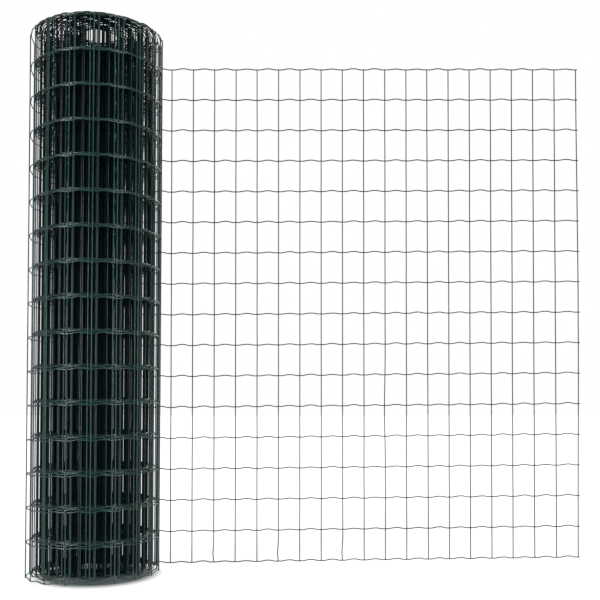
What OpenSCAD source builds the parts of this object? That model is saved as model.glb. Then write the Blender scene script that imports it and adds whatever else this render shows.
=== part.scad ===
// Roll of green coated welded wire fencing, stood on its end, with one stretch of the sheet unrolled.
// The roll's axis is Z, with the floor at z = 0. The unrolled stretch leaves the back of the roll along +X.

/* [Mesh] */
// Height of one cell, from line wire to line wire (mm)
bay = 75; // [50:1:100]
// Number of cells from the foot to the top
bays = 16; // [4:1:20]
// Width of one cell, from stay wire to stay wire (mm)
step = 52.2; // [40:0.1:80]
// Thickness of the wire over its coating (mm)
wire = 2.5; // [1.8:0.1:4]
// Depth to which the two wires of a crossing are welded into each other (mm)
weld_depth = 0.9; // [0.2:0.1:1.2]
// Rise of each line wire's crimp, midway between two stay wires (mm)
crimp = 2.5; // [0.5:0.5:6]
// Length of stay wire past the first and last line wires (mm)
stay_end = 0.5; // [0.5:0.5:10]
// Length of line wire past the last stay wire (mm)
line_end = 3; // [2:0.5:10]

/* [Wound roll] */
// Diameter over the outermost turn (mm)
roll_diameter = 298; // [240:1:400]
// Diameter of the hole left through the middle (mm)
bore_diameter = 72; // [50:1:120]
// Number of turns between the hole and the outside
turns = 25; // [6:1:28]
// Width of the gap that shows between two turns on the ends (mm)
turn_gap = 1; // [0.5:0.1:2]
// Depth to which that gap is cut into each end (mm)
turn_gap_depth = 6; // [2:1:20]

/* [Free end] */
// Number of stay wires on the unrolled stretch
free_stays = 22; // [3:1:23]
// Distance from the roll's axis to the first of these stay wires (mm)
first_stay = 48; // [44:1:60]
// Height to which the sheet has climbed at its last stay wire (mm)
rise = 9.8; // [0:0.2:20]
// Room between the roll and the line wires that leave it (mm)
seat = 0.1; // [0.05:0.05:0.3]

/* [Hidden] */
roll_r = roll_diameter / 2;
bore_r = bore_diameter / 2;
height = bays * bay + wire + 2 * stay_end;
turn_pitch = (roll_r - bore_r) / turns;

// The stay wires are on the outside of the sheet, flush with the outside of the roll.
stay_y = roll_r - wire / 2;
line_y = stay_y - wire + weld_depth;

// Half lengths of the two level runs of a crimp, one across each stay wire and one at the crest
stay_run = 0.16 * step;
crest_run = 0.14 * step;

green = [0.07, 0.16, 0.14];

// Gaps between the turns, as a line of points from the hole outwards along one end
function turn_gaps(z, into) = [
    for (i = [1:turns - 1])
        let (r = bore_r + i * turn_pitch)
        each [
            [r - turn_gap / 2, z],
            [r - turn_gap / 2, z + into],
            [r + turn_gap / 2, z + into],
            [r + turn_gap / 2, z]
        ]
];

function reversed(points) = [for (i = [len(points) - 1:-1:0]) points[i]];

// Place of a stay wire along the sheet, and the height to which the sheet has climbed there
function stay_x(i) = first_stay + i * step;
function climb(i) = rise * i / (free_stays - 1);

// Middle line of a line wire: level across each stay wire, with a crest halfway to the next
function crimped_line() = concat(
    [[stay_x(0) - step / 2, crimp]],
    [
        for (i = [0:free_stays - 1])
            let (x = stay_x(i), z = climb(i), last = i == free_stays - 1)
            each [
                [x - step / 2 + crest_run, z + crimp],
                [x - stay_run, z],
                [last ? x + line_end : x + stay_run, z],
                if (!last) [x + step / 2 - crest_run, z + crimp]
            ]
    ]
);

// Middle line moved up or down by a part of the wire's thickness
function raised(points, by) = [for (p = points) [p[0], p[1] + by]];

// All the turns as one turned solid, with the true hole and the gaps between the turns on both ends
module wound_roll() {
    color(green)
        rotate_extrude($fn = 96)
            polygon(concat(
                [[bore_r, 0]],
                turn_gaps(0, turn_gap_depth),
                [[roll_r, 0], [roll_r, height]],
                reversed(turn_gaps(height, -turn_gap_depth)),
                [[bore_r, height]]
            ));
}

// One crimped line wire, from inside the roll's outline to the sheet's cut edge
module line_wire() {
    middle = crimped_line();
    translate([0, line_y + wire / 2, 0])
        rotate([90, 0, 0])
            linear_extrude(wire)
                polygon(concat(raised(middle, -wire / 2), reversed(raised(middle, wire / 2))));
}

// One straight stay wire, six-sided, with a flat towards the line wires
module stay_wire() {
    cylinder(h = height, d = wire / cos(30), $fn = 6);
}

// The unrolled stretch: line wires cut to the round of the roll, and stay wires welded across them
module free_end() {
    color(green)
        difference() {
            union() {
                for (j = [0:bays])
                    translate([0, 0, stay_end + wire / 2 + j * bay])
                        line_wire();
                for (i = [0:free_stays - 1])
                    translate([stay_x(i), stay_y, climb(i)])
                        stay_wire();
            }
            translate([0, 0, -1])
                cylinder(h = height + 2 * crimp + 2, r = roll_r + seat, $fn = 96);
        }
}

wound_roll();
free_end();
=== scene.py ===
"""Dresses the roll of wire fencing: all wires and welds of its sheet, their coating, and the studio."""
from __future__ import annotations

import logging
import math
from dataclasses import dataclass, field
from enum import Enum

import bpy
import numpy as np
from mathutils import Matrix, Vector

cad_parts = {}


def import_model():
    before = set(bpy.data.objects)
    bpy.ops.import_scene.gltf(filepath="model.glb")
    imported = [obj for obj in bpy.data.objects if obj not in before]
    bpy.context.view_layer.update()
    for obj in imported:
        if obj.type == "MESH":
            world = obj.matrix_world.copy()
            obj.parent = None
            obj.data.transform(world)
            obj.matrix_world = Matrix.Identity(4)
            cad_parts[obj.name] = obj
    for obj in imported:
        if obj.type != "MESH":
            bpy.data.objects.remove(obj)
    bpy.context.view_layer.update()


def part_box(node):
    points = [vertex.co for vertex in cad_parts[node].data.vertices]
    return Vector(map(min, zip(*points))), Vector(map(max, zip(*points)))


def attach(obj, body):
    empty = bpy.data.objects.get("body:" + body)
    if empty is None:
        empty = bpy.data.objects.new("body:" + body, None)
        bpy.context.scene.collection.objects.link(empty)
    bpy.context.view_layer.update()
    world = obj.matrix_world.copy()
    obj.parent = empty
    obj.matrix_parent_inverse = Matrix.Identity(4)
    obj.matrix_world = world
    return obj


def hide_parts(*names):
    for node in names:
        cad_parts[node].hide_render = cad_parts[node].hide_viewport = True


log = logging.getLogger("fence_roll")

Colour = tuple[float, float, float]
Point = tuple[float, float, float]
Range = tuple[float, float]
Socket = bpy.types.NodeSocket
Value = Socket | float | tuple[float, ...]

# Radius of the hole through the middle of the roll, in metres
BORE_R = 0.036


class Finish(Enum):
    """Material slots of a wire mesh, in slot order."""

    COAT = 0
    CUT_END = 1


class Node(Enum):
    """Nodes of the frame that the wires replace."""

    WOUND_ROLL = "wound_roll"
    FREE_END = "free_end"


@dataclass(frozen=True)
class MeshSizes:
    """Sizes of the welded sheet, in metres.

    Attributes:
        bay: Height of one cell.
        bays: Number of cells from the foot to the top.
        step: Width of one cell.
        wire: Thickness of the wire over its coating.
        core: Thickness of the steel inside it.
        weld_depth: Depth to which crossing wires are welded into each other.
        press: Depth to which the coating gives where tight turns lie on each other.
        bead_r: Radius of the coating that has gathered around a weld.
        crimp: Rise of a line wire between two stays.
        crimp_at: Places along a cell that give the shape of the crimp, from 0 to 1.
        crimp_rise: Rise at these places, as a part of the crimp.
        stay_end: Length of stay wire past the outermost line wires.
        line_end: Length of line wire past the last stay wire.
    """

    bay: float = 0.075
    bays: int = 16
    step: float = 0.0522
    wire: float = 0.0025
    core: float = 0.0020
    weld_depth: float = 0.0009
    press: float = 0.00015
    bead_r: float = 0.00172
    crimp: float = 0.0025
    crimp_at: tuple[float, ...] = (0.0, 0.16, 0.36, 0.47, 0.6, 0.84, 1.0)
    crimp_rise: tuple[float, ...] = (0.0, 0.0, 0.86, 1.0, 0.86, 0.0, 0.0)
    stay_end: float = 0.0005
    line_end: float = 0.003

    @property
    def stay_depth(self) -> float:
        """Depth of a stay wire's middle below the sheet's outer face."""
        return self.wire / 2

    @property
    def line_depth(self) -> float:
        """Depth of a line wire's middle below the sheet's outer face."""
        return self.stay_depth + self.wire - self.weld_depth

    @property
    def thickness(self) -> float:
        """Thickness of the sheet at a crossing."""
        return 2 * self.wire - self.weld_depth

    @property
    def height(self) -> float:
        """Length of a stay wire."""
        return self.bays * self.bay + self.wire + 2 * self.stay_end

    @property
    def rows(self) -> np.ndarray:
        """Heights of the line wires' middles above the foot."""
        return self.stay_end + self.wire / 2 + self.bay * np.arange(self.bays + 1)


@dataclass
class SheetPath:
    """Route of the sheet: straight along the free end, then inwards in a spiral.

    A length along the sheet is 0 where the free end leaves the back of the roll, positive into the
    roll and negative along the free end.

    Attributes:
        outer_r: Radius of the sheet's outer face where it leaves the roll.
        inner_r: Radius of the sheet's outer face at its inner end.
        height: Height of the sheet.
        pitch: Radial distance between two turns pressed together.
        spread: Largest extra distance between two tight turns.
        loose: Radial distances between the outermost turns, which have sprung open.
        aside_at: Numbers of turns that give the sideways shift of the turns.
        aside: How far the turns have slid to the right there.
        lean: How far the top stands to the right of the foot.
        lifts: Height of the sheet's foot above the floor at each half turn, as far as it can be seen.
        lift_range: Smallest and largest such height further in.
        climb: Height of the free end's last stay above its first.
        climb_from: Distance from the roll's axis at which the free end starts to climb.
        climb_over: Distance over which it climbs.
        seed: Seed of the unevenness.
        turn: Turns made at each step of the route.
        radius: Radius of the sheet's outer face at each step.
        length: Length along the sheet at each step.
        lift_table: Height of the sheet's foot at each half turn.
    """

    # The most turns that are worked out, and the steps in each of them
    MOST_TURNS = 30
    STEPS_IN_TURN = 120

    outer_r: float
    inner_r: float
    height: float
    pitch: float
    spread: float = 0.0003
    loose: tuple[float, ...] = (0.0063, 0.0045, 0.0049)
    aside_at: tuple[float, ...] = (0.25, 0.8, 1.8, 2.6)
    aside: tuple[float, ...] = (0.0, 0.004, 0.0044, 0.0029)
    lean: float = 0.0048
    lifts: tuple[float, ...] = (
        0.0, 0.0125, 0.0145, 0.0162, 0.0175, 0.0188, 0.0196, 0.0204, 0.0212, 0.0216,
    )
    lift_range: Range = (0.0200, 0.0230)
    climb: float = 0.0098
    climb_from: float = 0.048
    climb_over: float = 1.0962
    seed: int = 658723
    turn: np.ndarray = field(init=False)
    radius: np.ndarray = field(init=False)
    length: np.ndarray = field(init=False)
    lift_table: np.ndarray = field(init=False)

    def __post_init__(self) -> None:
        """Tabulates radius and length against the turns made, and the lift against half turns."""
        rng = np.random.default_rng(self.seed)
        tight = self.pitch + rng.uniform(0, self.spread, self.MOST_TURNS - len(self.loose))
        drops = np.cumsum(np.concatenate([[0], self.loose, tight]))
        turn = np.linspace(0, self.MOST_TURNS, self.MOST_TURNS * self.STEPS_IN_TURN + 1)
        radius = self.outer_r - np.interp(turn, np.arange(len(drops)), drops)
        self.turn = turn[radius > self.inner_r]
        self.radius = radius[radius > self.inner_r]
        route = self._facing(self.turn) * self.radius[:, None]
        route[:, 0] += np.interp(self.turn, self.aside_at, self.aside)
        steps = np.linalg.norm(np.diff(route, axis=0), axis=1)
        self.length = np.concatenate([[0], np.cumsum(steps)])
        further_in = rng.uniform(*self.lift_range, 2 * self.MOST_TURNS - len(self.lifts))
        self.lift_table = np.concatenate([self.lifts, further_in])

    @property
    def end(self) -> float:
        """Length of sheet in the roll."""
        return float(self.length[-1])

    @property
    def turns(self) -> float:
        """Number of turns in the roll."""
        return float(self.turn[-1])

    @staticmethod
    def _facing(turn: np.ndarray) -> np.ndarray:
        """Directions away from the roll's axis after so many turns from its back."""
        angle = math.pi * (0.5 + 2 * turn)
        return np.stack([np.cos(angle), np.sin(angle), np.zeros_like(angle)], -1)

    def turn_at(self, along: np.ndarray) -> np.ndarray:
        """Turns made at lengths along the sheet."""
        return np.interp(along, self.length, self.turn)

    def outwards(self, along: np.ndarray) -> np.ndarray:
        """Directions square to the sheet, away from the roll, at lengths along the sheet."""
        return self._facing(self.turn_at(along))

    def lift(self, along: np.ndarray) -> np.ndarray:
        """Heights of the sheet's foot above the floor.

        Args:
            along: Lengths along the sheet.

        Returns:
            One height for each length.
        """
        climbed = np.clip((-along - self.climb_from) / self.climb_over, 0, None) * self.climb
        half_turns = 2 * self.turn_at(along)
        return np.interp(half_turns, np.arange(len(self.lift_table)), self.lift_table) + climbed

    def point(self, along: np.ndarray, depth: float, up: np.ndarray) -> np.ndarray:
        """Points below the sheet's outer face.

        Args:
            along: Lengths along the sheet.
            depth: Depth below the outer face.
            up: Heights above the sheet's foot, one for each length.

        Returns:
            An array of points.
        """
        turn = self.turn_at(along)
        points = self._facing(turn) * (np.interp(turn, self.turn, self.radius) - depth)[:, None]
        points[:, 0] += np.interp(turn, self.aside_at, self.aside) - np.minimum(along, 0)
        points[:, 0] += self.lean * (up / self.height - 0.5) * np.clip(1 + along / self.outer_r, 0, 1)
        points[:, 2] = up + self.lift(along)
        return points


@dataclass(frozen=True)
class Bend:
    """A stay wire of the free end that has been pushed out of line.

    Attributes:
        stay: Number of the stay wire, counted from the cut edge.
        height: Height of the middle of the bend.
        reach: Height over which it fades, both up and down.
        size: Largest sideways move, positive towards the roll.
    """

    stay: int
    height: float
    reach: float
    size: float

    def move(self, up: np.ndarray) -> np.ndarray:
        """Sideways moves at heights above the sheet's foot."""
        return self.size * np.cos(np.clip((up - self.height) / self.reach, -1, 1) * math.pi / 2) ** 2


@dataclass
class FenceSheet:
    """The whole welded sheet: its sizes, its route and the places of its stay wires.

    Attributes:
        sizes: Sizes of the mesh.
        path: Route of the sheet.
        free_stays: Number of stay wires on the free end.
        slack: Length by which the first turn has slipped open.
        slack_stays: Number of stay wires over which it slipped.
        drift: Typical sideways error of a stay wire of the free end.
        wound_drift: The same inside the roll, where the turns hold each other.
        steadiness: How many times smaller the error of a single crossing is.
        crimp_error: Largest part by which a crimp is higher or lower than it should be.
        bends: Stay wires that have been pushed out of line.
        seed: Seed of these errors.
        stays: Length along the sheet of each stay wire.
        drifts: Sideways error of each crossing, as stays by rows.
        crimps: Height of each crimp, as stays by rows.
    """

    sizes: MeshSizes
    path: SheetPath
    free_stays: int = 22
    slack: float = 0.0116
    slack_stays: int = 8
    drift: float = 0.00035
    wound_drift: float = 0.0001
    steadiness: float = 3.0
    crimp_error: float = 0.25
    bends: tuple[Bend, ...] = (
        Bend(0, 0.62, 0.62, -0.003),
        Bend(0, 0.6, 3.0, -0.0039),
        Bend(1, 0.6, 3.0, -0.0024),
        Bend(2, 0.6, 3.0, -0.0009),
        Bend(9, 0.37, 0.14, 0.0018),
        Bend(11, 0.022, 0.03, 0.002),
        Bend(14, 0.022, 0.03, 0.0022),
        Bend(17, 0.024, 0.03, 0.002),
    )
    seed: int = 7
    stays: np.ndarray = field(init=False)
    drifts: np.ndarray = field(init=False)
    crimps: np.ndarray = field(init=False)

    def __post_init__(self) -> None:
        """Places the stay wires along the sheet, from the cut edge to the inside of the roll."""
        cut_edge = -self.path.climb_from - (self.free_stays - 1) * self.sizes.step
        room = self.path.end - self.sizes.line_end - cut_edge - self.slack
        number = np.arange(int(room / self.sizes.step) + 1)
        slipped = np.clip((number - self.free_stays + 1) / self.slack_stays, 0, 1)
        self.stays = cut_edge + self.sizes.step * number + self.slack * slipped
        rng = np.random.default_rng(self.seed)
        shape = (len(number), len(self.sizes.rows))
        drift = np.where(number < self.free_stays, self.drift, self.wound_drift)[:, None]
        tilt = rng.normal(0, drift) * np.linspace(-1, 1, shape[1])
        self.drifts = tilt + rng.normal(0, drift / self.steadiness, shape)
        self.crimps = self.sizes.crimp * (1 + rng.uniform(-self.crimp_error, self.crimp_error, shape))

    def move(self, stay: int, up: np.ndarray) -> np.ndarray:
        """Sideways moves of a stay wire.

        Args:
            stay: Number of the stay wire, from the cut edge.
            up: Heights above the sheet's foot.

        Returns:
            Lengths along the sheet, one for each height.
        """
        bent = [bend.move(up) for bend in self.bends if bend.stay == stay]
        return np.interp(up, self.sizes.rows, self.drifts[stay]) + sum(bent)

    def crossings(self, first: int, last: int) -> np.ndarray:
        """Lengths along the sheet of the crossings between two stays, as stays by rows."""
        return np.array([self.stays[k] + self.move(k, self.sizes.rows) for k in range(first, last)])


class MeshBatch:
    """Like bodies collected as arrays, which become one joined mesh.

    The faces of each body lie in cells of a UV grid.
    """

    UV_NAME = "OFBake"
    # Margins inside a UV cell, along U and V
    UV_MARGINS = (0.03, 0.05)
    # Angle from which an edge is shown sharp
    SHARP_ANGLE = math.radians(75)

    def __init__(self, cell_shape: float) -> None:
        """Starts an empty batch.

        Args:
            cell_shape: Length of one cell's surface, as a multiple of its width.
        """
        self.cell_shape = cell_shape
        self.points: list[np.ndarray] = []
        self.faces: list[list[int]] = []
        self.finishes: list[int] = []
        self.corners: list[np.ndarray] = []
        self.count = 0
        self.cells = 0

    def take(self, points: np.ndarray) -> int:
        """Adds points.

        Args:
            points: The points, one in each row.

        Returns:
            The number of the first one.
        """
        self.points.append(points)
        self.count += len(points)
        return self.count - len(points)

    def cover(self, faces: np.ndarray, finish: Finish, corners: np.ndarray) -> None:
        """Adds faces over points that have been added.

        Args:
            faces: Numbers of the corner points, one row for each face.
            finish: Finish of these faces.
            corners: UV cell and place in the cell (from 0 to 1) of each corner.
        """
        self.faces += faces.tolist()
        self.finishes += [finish.value] * len(faces)
        self.corners.append(corners.reshape(-1, 3))

    def piece(self, name: str, materials: list[bpy.types.Material]) -> bpy.types.Object:
        """Makes the joined mesh.

        Args:
            name: Name of the new object.
            materials: Materials in the order of Finish.

        Returns:
            The object, linked to the scene.
        """
        mesh = bpy.data.meshes.new(name)
        mesh.from_pydata(np.concatenate(self.points).tolist(), [], self.faces)
        for material in materials:
            mesh.materials.append(material)
        mesh.polygons.foreach_set("material_index", self.finishes)
        mesh.polygons.foreach_set("use_smooth", [True] * len(self.faces))
        mesh.set_sharp_from_angle(angle=self.SHARP_ANGLE)
        self._unwrap(mesh)
        mesh.update()
        piece = bpy.data.objects.new(name, mesh)
        bpy.context.scene.collection.objects.link(piece)
        return piece

    def _unwrap(self, mesh: bpy.types.Mesh) -> None:
        """Lays the faces into the cells of a UV grid.

        Args:
            mesh: The joined mesh, with its faces in the order in which they were added.
        """
        columns = max(1, round(math.sqrt(self.cells / self.cell_shape)))
        rows = math.ceil(self.cells / columns)
        cell, u, v = np.concatenate(self.corners).T
        margin_u, margin_v = self.UV_MARGINS
        grid_u = (cell % columns + margin_u + (1 - 2 * margin_u) * u) / columns
        grid_v = (cell // columns + margin_v + (1 - 2 * margin_v) * v) / rows
        layer = mesh.uv_layers.new(name=self.UV_NAME)
        layer.uv.foreach_set("vector", np.stack([grid_u, grid_v], -1).astype(np.float32).ravel())


class WireBatch(MeshBatch):
    """Round wires with a core of steel that shows on their cut ends."""

    # Middles of a wire's first and last end in the UV cell that they share, and the sizes there of
    # the coating's rim and of the core, as half axes along U and V
    END_MIDDLES = ((0.25, 0.5), (0.75, 0.5))
    RIM_SIZE = (0.24, 0.48)
    CORE_SIZE = (0.19, 0.38)

    def __init__(self, sizes: MeshSizes, sides: int, run: int, run_length: float) -> None:
        """Starts an empty batch.

        Args:
            sizes: Sizes of the mesh.
            sides: Number of sides of the wires.
            run: Number of segments of a wire in one UV cell.
            run_length: Length of these segments.
        """
        super().__init__(run_length / (math.pi * sizes.wire))
        self.sizes = sizes
        self.sides = sides
        self.run = run
        self.turn = 2 * math.pi * (np.arange(sides) + 0.5) / sides
        self.radius = sizes.wire / 2 * (math.pi / sides) / math.sin(math.pi / sides)

    def add(self, middle: np.ndarray, across: np.ndarray, cut: tuple[bool, bool]) -> None:
        """Adds one wire.

        Args:
            middle: Points along the wire's middle line.
            across: For each point, a direction square to the wire.
            cut: Whether the first and the last end show the steel.
        """
        along = np.gradient(middle, axis=0)
        along /= np.linalg.norm(along, axis=1, keepdims=True)
        over = np.cross(along, across)
        over /= np.linalg.norm(over, axis=1, keepdims=True)
        cos, sin = np.cos(self.turn)[None, :, None], np.sin(self.turn)[None, :, None]
        ring = cos * across[:, None, :] + sin * over[:, None, :]
        skin = self.take((middle[:, None, :] + self.radius * ring).reshape(-1, 3))
        index = skin + np.arange(len(middle) * self.sides).reshape(len(middle), self.sides)
        self._cover_wall(index)
        for end, shows in ((0, cut[0]), (-1, cut[1])):
            core = self.take(middle[end] + self.sizes.core / 2 * ring[end])
            self._cover_end(index[end], core + np.arange(self.sides), end == 0, shows)
        self.cells += 1

    def _cover_wall(self, index: np.ndarray) -> None:
        """Covers a wire's skin.

        Args:
            index: Numbers of its points, as rings by sides.
        """
        ahead = np.roll(index, -1, axis=1)
        wall = np.stack([index[:-1], ahead[:-1], ahead[1:], index[1:]], -1)
        segment, side = np.indices(wall.shape[:2])
        part, within = np.divmod(segment, self.run)
        u = np.stack([within, within, within + 1, within + 1], -1) / self.run
        v = np.stack([side, side + 1, side + 1, side], -1) / self.sides
        cell = np.broadcast_to((self.cells + part)[..., None], u.shape)
        self.cover(wall.reshape(-1, 4), Finish.COAT, np.stack([cell, u, v], -1))
        self.cells += int(part.max()) + 1

    def _cover_end(self, rim: np.ndarray, core: np.ndarray, first: bool, cut: bool) -> None:
        """Covers one end of a wire.

        Args:
            rim: Numbers of the skin's last points.
            core: Numbers of the points around the core.
            first: Whether this is the wire's first end.
            cut: Whether the steel shows.
        """
        around = np.stack([np.cos(self.turn), np.sin(self.turn)], -1)
        middle = np.array(self.END_MIDDLES[0 if first else 1])
        outer, inner = middle + around * self.RIM_SIZE, middle + around * self.CORE_SIZE
        loop = np.stack([rim, core, np.roll(core, -1), np.roll(rim, -1)], -1)
        place = np.stack([outer, inner, np.roll(inner, -1, 0), np.roll(outer, -1, 0)], 1)
        disc, flat = core[::-1], inner[::-1]
        if not first:
            loop, place, disc, flat = loop[:, ::-1], place[:, ::-1], core, inner
        cell = np.full(place.shape[:2] + (1,), self.cells)
        self.cover(loop, Finish.COAT, np.concatenate([cell, place], -1))
        steel = Finish.CUT_END if cut else Finish.COAT
        self.cover(disc[None], steel, np.concatenate([np.full((len(flat), 1), self.cells), flat], -1))


class WeldBatch(MeshBatch):
    """Small round swellings of the coating, one on each weld."""

    # Length around a swelling, as a multiple of the length from pole to pole
    CELL_SHAPE = 2.0

    def __init__(self, radius: float, sides: int, bands: int) -> None:
        """Starts an empty batch.

        Args:
            radius: Radius of a swelling.
            sides: Number of sides around it.
            bands: Number of bands from pole to pole.
        """
        super().__init__(self.CELL_SHAPE)
        turn = 2 * math.pi * np.arange(sides) / sides
        polar = math.pi * np.arange(1, bands) / bands
        wide = np.sin(polar)
        level = np.stack([np.outer(wide, np.cos(turn)), np.outer(wide, np.sin(turn))], -1)
        painted_shade = np.broadcast_to(np.cos(polar)[:, None, None], level.shape[:2] + (1,))
        between = np.concatenate([level, painted_shade], -1).reshape(-1, 3)
        self.ball = radius * np.concatenate([[[0, 0, 1]], between, [[0, 0, -1]]])
        self.sides = sides
        self.bands = bands

    def add(self, middle: np.ndarray) -> None:
        """Adds one swelling.

        Args:
            middle: Point around which it lies.
        """
        first = self.take(middle + self.ball)
        side = np.arange(self.sides)
        grid = first + 1 + np.arange((self.bands - 1) * self.sides).reshape(-1, self.sides)
        ahead = np.roll(grid, -1, axis=1)
        for band in range(self.bands - 2):
            wall = np.stack([grid[band], grid[band + 1], ahead[band + 1], ahead[band]], -1)
            sides = np.stack([side, side, side + 1, side + 1], -1)
            self._cover(wall, sides, np.array([1, 2, 2, 1]) + band)
        top = np.stack([np.full(self.sides, first), grid[0], ahead[0]], -1)
        foot = np.stack([np.full(self.sides, self.count - 1), ahead[-1], grid[-1]], -1)
        self._cover(top, np.stack([side + 0.5, side, side + 1], -1), np.array([0, 1, 1]))
        self._cover(foot, np.stack([side + 0.5, side + 1, side], -1), self.bands - np.array([0, 1, 1]))
        self.cells += 1

    def _cover(self, faces: np.ndarray, side: np.ndarray, band: np.ndarray) -> None:
        """Covers faces of the current swelling.

        Args:
            faces: Numbers of the corner points, one row for each face.
            side: Number of the side on which each corner lies.
            band: Number of the band on which each corner of a face lies.
        """
        cell = np.full(side.shape, self.cells)
        down = np.broadcast_to(band / self.bands, side.shape)
        self.cover(faces, Finish.COAT, np.stack([cell, side / self.sides, down], -1))


class Tree:
    """A node tree, with a short way to add nodes to it."""

    def __init__(self, tree: bpy.types.NodeTree) -> None:
        """Wraps a node tree."""
        self.tree = tree

    def add(self, kind: str, inputs: dict[str | int, Value], **settings: object) -> bpy.types.Node:
        """Adds one node.

        Args:
            kind: Type of the node, without its common first part.
            inputs: For each input, a value or an output to link from.
            **settings: Settings of the node itself.

        Returns:
            The new node.
        """
        node = self.tree.nodes.new("ShaderNode" + kind)
        for name, value in settings.items():
            setattr(node, name, value)
        for name, value in inputs.items():
            if isinstance(value, Socket):
                self.tree.links.new(value, node.inputs[name])
            else:
                node.inputs[name].default_value = value
        return node

    def math(self, operation: str, first: Value, second: Value) -> Socket:
        """Output of one sum on two values or outputs."""
        return self.add("Math", {0: first, 1: second}, operation=operation).outputs[0]

    def spread(self, value: Socket, within: tuple[Value, Value], to: Range) -> Socket:
        """Output that spreads a value from one range to another, held within it."""
        limits = zip(("From Min", "From Max", "To Min", "To Max"), (*within, *to))
        return self.add("MapRange", {"Value": value, **dict(limits)}).outputs[0]

    def noise(self, place: Socket, scale: Value, detail: float) -> Socket:
        """Output with noise of a fineness and a number of finer layers."""
        return self.add("TexNoise", {"Vector": place, "Scale": scale, "Detail": detail}).outputs[0]

    def blend(self, factor: Value, first: Value, second: Value) -> Socket:
        """Output that blends two colours."""
        return self.add("Mix", {0: factor, 6: first, 7: second}, data_type="RGBA").outputs[2]


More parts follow.
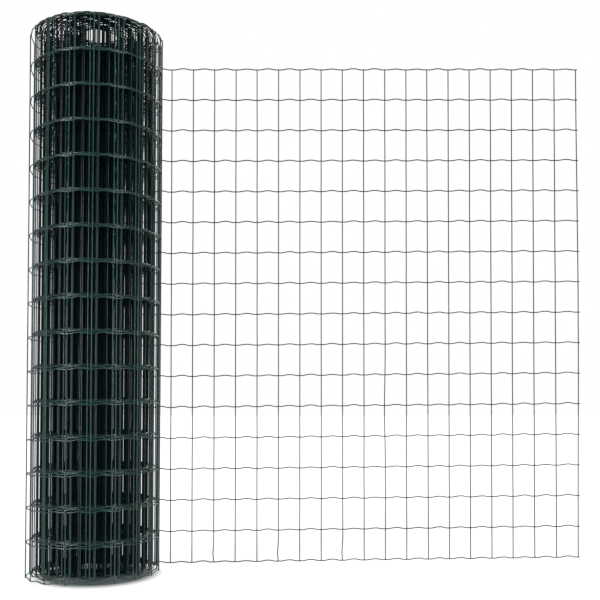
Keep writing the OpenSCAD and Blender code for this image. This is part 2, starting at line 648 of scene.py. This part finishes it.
@dataclass
class Effects:
    """Node groups that several finishes share.

    Attributes:
        patch_range: Noise between which one kind of patch goes over into the other.
        streak_scale: Fineness of the streaks.
        streak_draw: Fineness of the streaks along X, Y and Z, as a part of that.
        streak_range: Noise between which a streak goes from none to full.
        grain_scale: Fineness of the grain.
        speck_scale: Fineness of the specks of dust.
        slopes: Upward slopes between which dust, with its painted highlight, goes from none to most.
        top_dust_and_sheen: Dust on what faces up, which also stands in for a painted highlight on the
            wires' tops.
        low_height: Height over which the extra dust at the foot fades.
        low_dust: Extra dust at the foot.
        thin_range: Noise between which the dust goes from thin to full.
        thin: Part of the dust where it is thin.
        spot_range: Noise between which a spot of dust goes from none to full.
        spot: Dust on such a spot.
        mottle: Group of patches, streaks and grain.
        dust: Group of the dust, with its painted highlight on what faces up.
        depth: Group of the painted shade inside the roll.
    """

    patch_range: Range = (0.36, 0.64)
    streak_scale: float = 64.0
    streak_draw: Point = (1.0, 1.0, 0.05)
    streak_range: Range = (0.4, 0.66)
    grain_scale: float = 900.0
    speck_scale: float = 130.0
    slopes: Range = (-0.1, 0.95)
    top_dust_and_sheen: float = 0.7
    low_height: float = 0.22
    low_dust: float = 0.35
    thin_range: Range = (0.34, 0.62)
    thin: float = 0.35
    spot_range: Range = (0.6, 0.72)
    spot: float = 0.6
    mottle: bpy.types.NodeTree = field(init=False)
    dust: bpy.types.NodeTree = field(init=False)
    depth: bpy.types.NodeTree = field(init=False)

    def __post_init__(self) -> None:
        """Makes the groups."""
        self.mottle = self._mottle()
        self.dust = self._dust_and_sheen()
        self.depth = self._painted_shade_mask()

    @staticmethod
    def _start(
        name: str, inputs: dict[str, float], outputs: tuple[str, ...]
    ) -> tuple[Tree, bpy.types.Node, bpy.types.Node]:
        """Starts a group of values.

        Args:
            name: Name of the group.
            inputs: Names of its inputs, with their values at the start.
            outputs: Names of its outputs.

        Returns:
            The tree, its input node and its output node.
        """
        group = bpy.data.node_groups.new(name, "ShaderNodeTree")
        for label, value in inputs.items():
            socket = group.interface.new_socket(label, in_out="INPUT", socket_type="NodeSocketFloat")
            socket.default_value = value
        for label in outputs:
            group.interface.new_socket(label, in_out="OUTPUT", socket_type="NodeSocketFloat")
        return Tree(group), group.nodes.new("NodeGroupInput"), group.nodes.new("NodeGroupOutput")

    def _mottle(self) -> bpy.types.NodeTree:
        """Makes broad patches, finer streaks and a fine grain.

        Returns:
            The group.
        """
        tree, given, made = self._start("mottle", {"Scale": 1.0}, ("Patches", "Streaks", "Grain"))
        place = tree.add("TexCoord", {}).outputs["Object"]
        patches = tree.noise(place, given.outputs["Scale"], detail=3.0)
        drawn = tree.add("VectorMath", {0: place, 1: self.streak_draw}, operation="MULTIPLY").outputs[0]
        streaks = tree.noise(drawn, self.streak_scale, detail=2.0)
        grain = tree.noise(place, self.grain_scale, detail=2.0)
        links = tree.tree.links
        links.new(tree.spread(patches, self.patch_range, (0.0, 1.0)), made.inputs["Patches"])
        links.new(tree.spread(streaks, self.streak_range, (0.0, 1.0)), made.inputs["Streaks"])
        links.new(grain, made.inputs["Grain"])
        return tree.tree

    def _dust_and_sheen(self) -> bpy.types.NodeTree:
        """Makes a mask of pale dust on what faces up, in specks and near the foot; upward it is also a
        painted highlight.

        Returns:
            The group.
        """
        tree, given, made = self._start("dust", {"Amount": 0.0}, ("Mask",))
        shape = tree.add("NewGeometry", {})
        up = tree.add("SeparateXYZ", {0: shape.outputs["Normal"]}).outputs[2]
        high = tree.add("SeparateXYZ", {0: shape.outputs["Position"]}).outputs[2]
        speck = tree.noise(shape.outputs["Position"], self.speck_scale, detail=3.0)
        # Dust on what faces up, which also paints a highlight on the tops of the line wires
        top_dust_and_sheen = tree.spread(up, self.slopes, (0.0, self.top_dust_and_sheen))
        low = tree.spread(high, (0.0, self.low_height), (self.low_dust, 0.0))
        lying = tree.math("ADD", top_dust_and_sheen, low)
        patchy = tree.math("MULTIPLY", lying, tree.spread(speck, self.thin_range, (self.thin, 1.0)))
        spots = tree.math("ADD", patchy, tree.spread(speck, self.spot_range, (0.0, self.spot)))
        factors = {0: spots, 1: given.outputs["Amount"]}
        mask = tree.add("Math", factors, operation="MULTIPLY", use_clamp=True)
        tree.tree.links.new(mask.outputs[0], made.inputs["Mask"])
        return tree.tree

    def _painted_shade_mask(self) -> bpy.types.NodeTree:
        """Makes a mask of painted shade inside the roll, by the distance from its axis.

        Returns:
            The group.
        """
        tree, given, made = self._start("depth", {"Deep": 0.0, "Open": 1.0}, ("Mask",))
        place = tree.add("TexCoord", {}).outputs["Object"]
        level = tree.add("VectorMath", {0: place, 1: (1.0, 1.0, 0.0)}, operation="MULTIPLY").outputs[0]
        distance = tree.add("VectorMath", {0: level}, operation="LENGTH").outputs["Value"]
        # Painted shade: full within the Deep distance of the axis, none beyond the Open distance
        mask = tree.spread(distance, (given.outputs["Deep"], given.outputs["Open"]), (1.0, 0.0))
        tree.tree.links.new(mask, made.inputs["Mask"])
        return tree.tree


@dataclass(frozen=True)
class CoatFinish:
    """Dark green plastic coating of the wires.

    Attributes:
        name: Name of the material.
        moss: Colour of the greener patches.
        teal: Colour of the bluer patches.
        worn: Colour of rubbed streaks.
        painted_shade: Colour of the painted shade inside the roll, towards which the coat darkens near
            its axis.
        shade_span: Distances from the roll's axis between which the painted shade goes from full to
            none.
        patch_scale: Fineness of the patches.
        rub: How much of the colour the rubbed streaks take, from 0 to 1.
        dust: Colour of the dust that lies on it, and of the painted highlight on the wires' tops.
        dust_and_sheen_amount: How much dust, with its painted highlight, lies on it, from 0 to 1.
        dust_rough: Roughness that the dust adds.
        rough: Roughness of its smoothest and its dullest spots.
        bump: Height of its fine grain.
        bump_strength: Strength of that grain, from 0 to 1.
        gloss: Weight of the clear layer on top.
        gloss_rough: Roughness of that layer.
        mirror: Strength of its reflections, 0.5 for common plastic.
    """

    name: str
    moss: Colour = (0.002, 0.043, 0.028)
    teal: Colour = (0.002, 0.032, 0.038)
    worn: Colour = (0.006, 0.054, 0.051)
    painted_shade: Colour = (0.0006, 0.0102, 0.0114)
    shade_span: Range = (0.124, 0.1425)
    patch_scale: float = 8.0
    rub: float = 0.7
    dust: Colour = (0.12, 0.15, 0.15)
    dust_and_sheen_amount: float = 0.16
    dust_rough: float = 0.35
    rough: Range = (0.2, 0.34)
    bump: float = 0.0002
    bump_strength: float = 0.5
    gloss: float = 0.0
    gloss_rough: float = 0.15
    mirror: float = 0.5

    def material(self, effects: Effects) -> bpy.types.Material:
        """Makes the material.

        Args:
            effects: The shared node groups.

        Returns:
            The new material.
        """
        material = bpy.data.materials.new(self.name)
        material.use_nodes = True
        tree = Tree(material.node_tree)
        mottle = tree.add("Group", {"Scale": self.patch_scale}, node_tree=effects.mottle)
        # Pale dust, which on what faces up is also a painted highlight
        dust = tree.add("Group", {"Amount": self.dust_and_sheen_amount}, node_tree=effects.dust)
        # Mask of the painted shade inside the roll
        shade_span = {"Deep": self.shade_span[0], "Open": self.shade_span[1]}
        depth = tree.add("Group", shade_span, node_tree=effects.depth)
        green = tree.blend(mottle.outputs["Patches"], (*self.moss, 1), (*self.teal, 1))
        rubbed = tree.math("MULTIPLY", mottle.outputs["Streaks"], self.rub)
        green = tree.blend(rubbed, green, (*self.worn, 1))
        # Painted shade: the coat darkens towards the roll's axis, where the outer turns shade it
        green = tree.blend(depth.outputs["Mask"], green, (*self.painted_shade, 1))
        colour = tree.blend(dust.outputs["Mask"], green, (*self.dust, 1))
        shine = tree.spread(mottle.outputs["Streaks"], (0.0, 1.0), self.rough)
        rough = tree.math("ADD", shine, tree.math("MULTIPLY", dust.outputs["Mask"], self.dust_rough))
        grain = {"Height": mottle.outputs["Grain"], "Strength": self.bump_strength}
        bump = tree.add("Bump", {**grain, "Distance": self.bump})
        shader = material.node_tree.nodes["Principled BSDF"]
        shader.inputs["Coat Weight"].default_value = self.gloss
        shader.inputs["Coat Roughness"].default_value = self.gloss_rough
        shader.inputs["Specular IOR Level"].default_value = self.mirror
        links = material.node_tree.links
        links.new(colour, shader.inputs["Base Color"])
        links.new(rough, shader.inputs["Roughness"])
        links.new(bump.outputs[0], shader.inputs["Normal"])
        return material


@dataclass(frozen=True)
class SteelFinish:
    """Bare steel on the cut ends of the wires, with zinc around it and a first touch of rust.

    Attributes:
        name: Name of the material.
        bright: Colour of clean metal.
        dull: Colour of dull metal.
        rust: Colour of rust.
        patch_scale: Fineness of the patches.
        rust_range: Streaks between which rust goes from none to most.
        most_rust: How much of the colour the rust takes there, from 0 to 1.
        rust_metal: How metallic the rust still is.
        grain_range: Grain between which the metal goes from smooth to rough.
        rough: Roughness of its smoothest and its dullest spots.
    """

    name: str = "cut_steel"
    bright: Colour = (0.46, 0.46, 0.45)
    dull: Colour = (0.23, 0.23, 0.22)
    rust: Colour = (0.13, 0.05, 0.022)
    patch_scale: float = 300.0
    rust_range: Range = (0.45, 0.8)
    most_rust: float = 0.8
    rust_metal: float = 0.1
    grain_range: Range = (0.3, 0.7)
    rough: Range = (0.3, 0.6)

    def material(self, effects: Effects) -> bpy.types.Material:
        """Makes the material.

        Args:
            effects: The shared node groups.

        Returns:
            The new material.
        """
        material = bpy.data.materials.new(self.name)
        material.use_nodes = True
        tree = Tree(material.node_tree)
        mottle = tree.add("Group", {"Scale": self.patch_scale}, node_tree=effects.mottle)
        rusty = tree.spread(mottle.outputs["Streaks"], self.rust_range, (0.0, self.most_rust))
        metal = tree.blend(mottle.outputs["Patches"], (*self.bright, 1), (*self.dull, 1))
        metallic = tree.spread(rusty, (0.0, self.most_rust), (1.0, self.rust_metal))
        rough = tree.spread(mottle.outputs["Grain"], self.grain_range, self.rough)
        shader = material.node_tree.nodes["Principled BSDF"]
        links = material.node_tree.links
        links.new(tree.blend(rusty, metal, (*self.rust, 1)), shader.inputs["Base Color"])
        links.new(metallic, shader.inputs["Metallic"])
        links.new(rough, shader.inputs["Roughness"])
        return material


@dataclass(frozen=True)
class Finishes:
    """Materials of one stretch of the sheet.

    Attributes:
        coat: Coating of its wires.
        weld: Coating of its welds.
        steel: Steel on its cut ends.
    """

    coat: bpy.types.Material
    weld: bpy.types.Material
    steel: bpy.types.Material


@dataclass
class Stretch:
    """One stretch of the sheet, built of line wires, stay wires and welds.

    Attributes:
        sheet: The whole sheet.
        finishes: Materials of this stretch.
        name: First part of its pieces' names.
        node: Node of the frame that it replaces.
        first: Number of its first stay wire.
        last: Number of the stay wire at which its line wires end.
        places: Places along a cell at which a line wire has points.
        sides: Number of sides of its wires.
        bay_parts: Number of parts of a stay wire in one cell.
        weld_bands: Number of bands of a weld from pole to pole.
    """

    # Number of cells of the mesh over which a line wire runs in one UV cell
    CELLS_IN_RUN = 9

    sheet: FenceSheet
    finishes: Finishes
    name: str
    node: Node
    first: int
    last: int
    places: tuple[float, ...]
    sides: int
    bay_parts: int
    weld_bands: int

    @property
    def starts_sheet(self) -> bool:
        """Whether the sheet's cut edge is on this stretch."""
        return self.first == 0

    @property
    def ends_sheet(self) -> bool:
        """Whether the sheet's inner end is on this stretch."""
        return self.last == len(self.sheet.stays) - 1

    @property
    def stay_numbers(self) -> range:
        """Numbers of this stretch's stay wires."""
        return range(self.first, self.last + 1 if self.ends_sheet else self.last)

    def line_wires(self) -> bpy.types.Object:
        """Builds the crimped line wires.

        Returns:
            The wires, joined.
        """
        sheet, sizes = self.sheet, self.sheet.sizes
        number = (np.arange(self.first, self.last)[:, None] + np.array(self.places)).ravel()
        number = np.append(number, self.last)
        stays = np.arange(len(sheet.stays))
        crossings = sheet.crossings(0, len(stays))
        run = self.CELLS_IN_RUN * len(self.places)
        batch = WireBatch(sizes, self.sides, run, self.CELLS_IN_RUN * sizes.step)
        for row, up in enumerate(sizes.rows):
            along = np.interp(number, stays, crossings[:, row])
            crimp = sheet.crimps[number.astype(int), row]
            rise = crimp * np.interp(number % 1, sizes.crimp_at, sizes.crimp_rise)
            if self.starts_sheet:
                along = np.insert(along, 0, along[0] - sizes.line_end)
                rise = np.insert(rise, 0, 0.0)
            if self.ends_sheet:
                along = np.append(along, along[-1] + sizes.line_end)
                rise = np.append(rise, 0.0)
            middle = sheet.path.point(along, sizes.line_depth, up + rise)
            batch.add(middle, sheet.path.outwards(along), (self.starts_sheet, self.ends_sheet))
        return batch.piece(f"{self.name}_line_wires", [self.finishes.coat, self.finishes.steel])

    def stay_wires(self) -> bpy.types.Object:
        """Builds the straight stay wires.

        Returns:
            The wires, joined.
        """
        sheet, sizes = self.sheet, self.sheet.sizes
        between = np.linspace(0, sizes.bays, sizes.bays * self.bay_parts + 1)
        up = np.concatenate([[0.0], sizes.rows[0] + sizes.bay * between, [sizes.height]])
        batch = WireBatch(sizes, self.sides, len(up) - 1, sizes.height)
        for number in self.stay_numbers:
            along = sheet.stays[number] + sheet.move(number, up)
            middle = sheet.path.point(along, sizes.stay_depth, up)
            batch.add(middle, sheet.path.outwards(along), (True, True))
        return batch.piece(f"{self.name}_stay_wires", [self.finishes.coat, self.finishes.steel])

    def welds(self) -> bpy.types.Object:
        """Builds the swellings of the coating at the welds.

        Returns:
            The swellings, joined.
        """
        sheet, sizes = self.sheet, self.sheet.sizes
        batch = WeldBatch(sizes.bead_r, self.sides, self.weld_bands)
        numbers = self.stay_numbers
        for along in sheet.crossings(numbers.start, numbers.stop):
            for middle in sheet.path.point(along, sizes.thickness / 2, sizes.rows):
                batch.add(middle)
        return batch.piece(f"{self.name}_welds", [self.finishes.weld])

    def build(self) -> None:
        """Builds all pieces of the stretch and ties them to the frame."""
        for piece in (self.line_wires(), self.stay_wires(), self.welds()):
            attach(piece, "root")
            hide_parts(self.node.value)
            triangles = sum(len(face.vertices) - 2 for face in piece.data.polygons)
            log.info("%s: %d triangles", piece.name, triangles)


@dataclass
class FreeEnd(Stretch):
    """The unrolled stretch beside the roll."""

    name: str = "free"
    node: Node = Node.FREE_END
    first: int = 0
    last: int = 22
    places: tuple[float, ...] = (0.0, 0.16, 0.36, 0.47, 0.6, 0.84)
    sides: int = 8
    bay_parts: int = 4
    weld_bands: int = 5


@dataclass
class OuterTurns(Stretch):
    """The outermost turns of the roll, which have sprung open."""

    name: str = "outer"
    node: Node = Node.WOUND_ROLL
    first: int = 22
    last: int = 112
    places: tuple[float, ...] = (0.0, 0.16, 0.38, 0.56, 0.84)
    sides: int = 7
    bay_parts: int = 1
    weld_bands: int = 4


@dataclass
class InnerTurns(Stretch):
    """The tight turns inside the roll."""

    name: str = "inner"
    node: Node = Node.WOUND_ROLL
    first: int = 112
    last: int = 0
    places: tuple[float, ...] = (0.0, 0.18, 0.47, 0.82)
    sides: int = 5
    bay_parts: int = 1
    weld_bands: int = 3

    def __post_init__(self) -> None:
        """Ends the stretch at the sheet's last stay wire."""
        self.last = len(self.sheet.stays) - 1


@dataclass(frozen=True)
class Lamp:
    """A wide, distant lamp with soft edges.

    Attributes:
        name: Name of the lamp.
        toward: Direction from the object to the lamp.
        strength: Light on a surface that faces it.
        angle: Width of the lamp as seen from the object, in degrees.
    """

    # Distance at which the lamp's handle stands, which does not change its light
    DISTANCE = 3.0

    name: str
    toward: Point
    strength: float
    angle: float

    def build(self) -> None:
        """Adds the lamp to the scene."""
        light = bpy.data.lights.new(self.name, "SUN")
        light.energy = self.strength
        light.angle = math.radians(self.angle)
        lamp = bpy.data.objects.new(self.name, light)
        lamp.location = self.DISTANCE * Vector(self.toward).normalized()
        lamp.rotation_euler = (-Vector(self.toward)).to_track_quat("-Z", "Y").to_euler()
        bpy.context.scene.collection.objects.link(lamp)


@dataclass(frozen=True)
class Studio:
    """White surroundings, a pale floor and the lamps.

    Attributes:
        ambient: Strength of the light from all round.
        mirrored: Strength of the surroundings in reflections, at the horizon and high up.
        horizon: Height, as a sine, over which the one goes over into the other.
        floor_mirrored: Strength of the floor in reflections.
        floor_level: Height of the floor, just below the foot.
        floor_tone: Grey of the floor.
        floor_glow: Light that the floor adds towards the camera.
        floor_half: Half the side of the floor.
        shade: Middle of the shadow painted on the floor under the roll, set away from the lamps in
            front.
        covered: Distances from that middle between which the floor comes out of the painted shadow.
        shaded: Part of the floor's colour and glow that is left in the middle of the painted shadow.
        lamps: The lamps.
    """

    ambient: float = 0.03
    mirrored: Range = (0.6, 0.12)
    horizon: float = 0.3
    floor_mirrored: float = 1.0
    floor_level: float = -0.0005
    floor_tone: float = 0.3
    floor_glow: float = 0.85
    floor_half: float = 12.0
    shade: Point = (0.0, 0.035, 0.0)
    covered: Range = (0.115, 0.15)
    shaded: float = 0.1
    lamps: tuple[Lamp, ...] = (
        Lamp("key", (-1.5, -1.3, 1.7), 2.4, 16.0),
        Lamp("fill", (1.6, -1.3, 1.3), 2.0, 16.0),
        Lamp("low", (-1.3, -1.5, 0.14), 1.25, 14.0),
        Lamp("back", (0.4, 1.6, 0.9), 1.2, 30.0),
    )

    def build(self) -> None:
        """Adds the surroundings, the floor and the lamps to the scene."""
        bpy.context.scene.view_settings.view_transform = "Standard"
        self._surround()
        self._lay_floor()
        for lamp in self.lamps:
            lamp.build()

    @staticmethod
    def _shown(tree: Tree, mirrored: Value) -> Socket:
        """Tells light that goes to the camera from light that falls on other things.

        Args:
            tree: Tree to add to.
            mirrored: Strength in reflections.

        Returns:
            Output that is 1 to the camera, mirrored in reflections and 0 elsewhere.
        """
        path = tree.add("LightPath", {}).outputs
        reflected = tree.math("MAXIMUM", path["Is Glossy Ray"], path["Is Transmission Ray"])
        return tree.math("MAXIMUM", path["Is Camera Ray"], tree.math("MULTIPLY", reflected, mirrored))

    def _surround(self) -> None:
        """Makes the world white to the camera, brighter low than high in reflections, and else dim."""
        world = bpy.data.worlds.new("studio")
        bpy.context.scene.world = world
        world.use_nodes = True
        tree = Tree(world.node_tree)
        background = world.node_tree.nodes["Background"]
        background.inputs["Color"].default_value = (1, 1, 1, 1)
        high = tree.add("SeparateXYZ", {0: tree.add("TexCoord", {}).outputs["Generated"]}).outputs[2]
        mirrored = tree.spread(high, (0.0, self.horizon), self.mirrored)
        strength = tree.spread(self._shown(tree, mirrored), (0.0, 1.0), (self.ambient, 1.0))
        world.node_tree.links.new(strength, background.inputs["Strength"])

    def _lay_floor(self) -> None:
        """Lays a pale floor that reads as white and keeps the object's shadow, with a shadow painted
        under the roll.
        """
        corners = ((-1, -1), (1, -1), (1, 1), (-1, 1))
        points = [(self.floor_half * x, self.floor_half * y, self.floor_level) for x, y in corners]
        mesh = bpy.data.meshes.new("floor")
        mesh.from_pydata(points, [], [(0, 1, 2, 3)])
        material = bpy.data.materials.new("floor")
        material.use_nodes = True
        tree = Tree(material.node_tree)
        shader = material.node_tree.nodes["Principled BSDF"]
        shader.inputs["Roughness"].default_value = 1.0
        shader.inputs["Emission Color"].default_value = (1, 1, 1, 1)
        # Painted shadow: the floor's colour and glow darken in a disc under the roll
        place = tree.add("TexCoord", {}).outputs["Object"]
        away = tree.add("VectorMath", {0: place, 1: self.shade}, operation="DISTANCE")
        painted_shadow = tree.spread(away.outputs["Value"], self.covered, (self.shaded, 1.0))
        shown = tree.math("MULTIPLY", self._shown(tree, self.floor_mirrored), self.floor_glow)
        links = material.node_tree.links
        links.new(tree.math("MULTIPLY", painted_shadow, self.floor_tone), shader.inputs["Base Color"])
        links.new(tree.math("MULTIPLY", painted_shadow, shown), shader.inputs["Emission Strength"])
        mesh.materials.append(material)
        floor = bpy.data.objects.new("floor", mesh)
        bpy.context.scene.collection.objects.link(floor)


@dataclass(frozen=True)
class View:
    """The camera.

    Attributes:
        place: Place of the camera.
        pitch: Upward tilt, in radians.
        yaw: Turn to the left, in radians.
        lens: Focal length, in millimetres.
        sensor: Width of the sensor, in millimetres.
        shift: Upward shift of the picture, as a part of its width.
    """

    place: Point = (0.41607, -1.96742, 0.42264)
    pitch: float = 0.0187
    yaw: float = -0.0236
    lens: float = 52.03
    sensor: float = 36.0
    shift: float = 0.12125

    def build(self) -> None:
        """Adds the camera to the scene."""
        lens = bpy.data.cameras.new("camera")
        lens.lens = self.lens
        lens.sensor_width = self.sensor
        lens.shift_y = self.shift
        camera = bpy.data.objects.new("camera", lens)
        camera.location = self.place
        camera.rotation_euler = (math.pi / 2 + self.pitch, 0, self.yaw)
        bpy.context.scene.collection.objects.link(camera)
        bpy.context.scene.camera = camera


def main() -> None:
    """Builds the fence roll, its studio and the camera, in order."""
    logging.basicConfig(level=logging.INFO, format="%(name)s: %(message)s")
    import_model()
    sizes = MeshSizes()
    outer_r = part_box(Node.WOUND_ROLL.value)[1][0]
    pitch = sizes.thickness - sizes.press
    path = SheetPath(outer_r, BORE_R + sizes.thickness, sizes.height, pitch)
    sheet = FenceSheet(sizes, path)
    log.info("%.1f turns, %.2f m in the roll, %d stay wires", path.turns, path.end, len(sheet.stays))
    effects = Effects()
    steel = SteelFinish().material(effects)
    weld = CoatFinish("weld_coat", rough=(0.2, 0.4), gloss=0.3).material(effects)
    flat = CoatFinish("sheet_coat", dust_and_sheen_amount=0.05, rough=(0.3, 0.45), mirror=0.3).material(effects)
    wound = CoatFinish("roll_coat", dust_and_sheen_amount=0.14).material(effects)
    # A duller copy of the coat with weak reflections, which paints shade on the tight inner turns and
    # their welds
    painted_shade = CoatFinish("shaded_inner_coat", dust_and_sheen_amount=0.03, rough=(0.4, 0.6), mirror=0.07).material(effects)
    FreeEnd(sheet, Finishes(flat, weld, steel)).build()
    OuterTurns(sheet, Finishes(wound, weld, steel)).build()
    InnerTurns(sheet, Finishes(painted_shade, painted_shade, steel)).build()
    Studio().build()
    View().build()


if __name__ == "__main__":
    main()
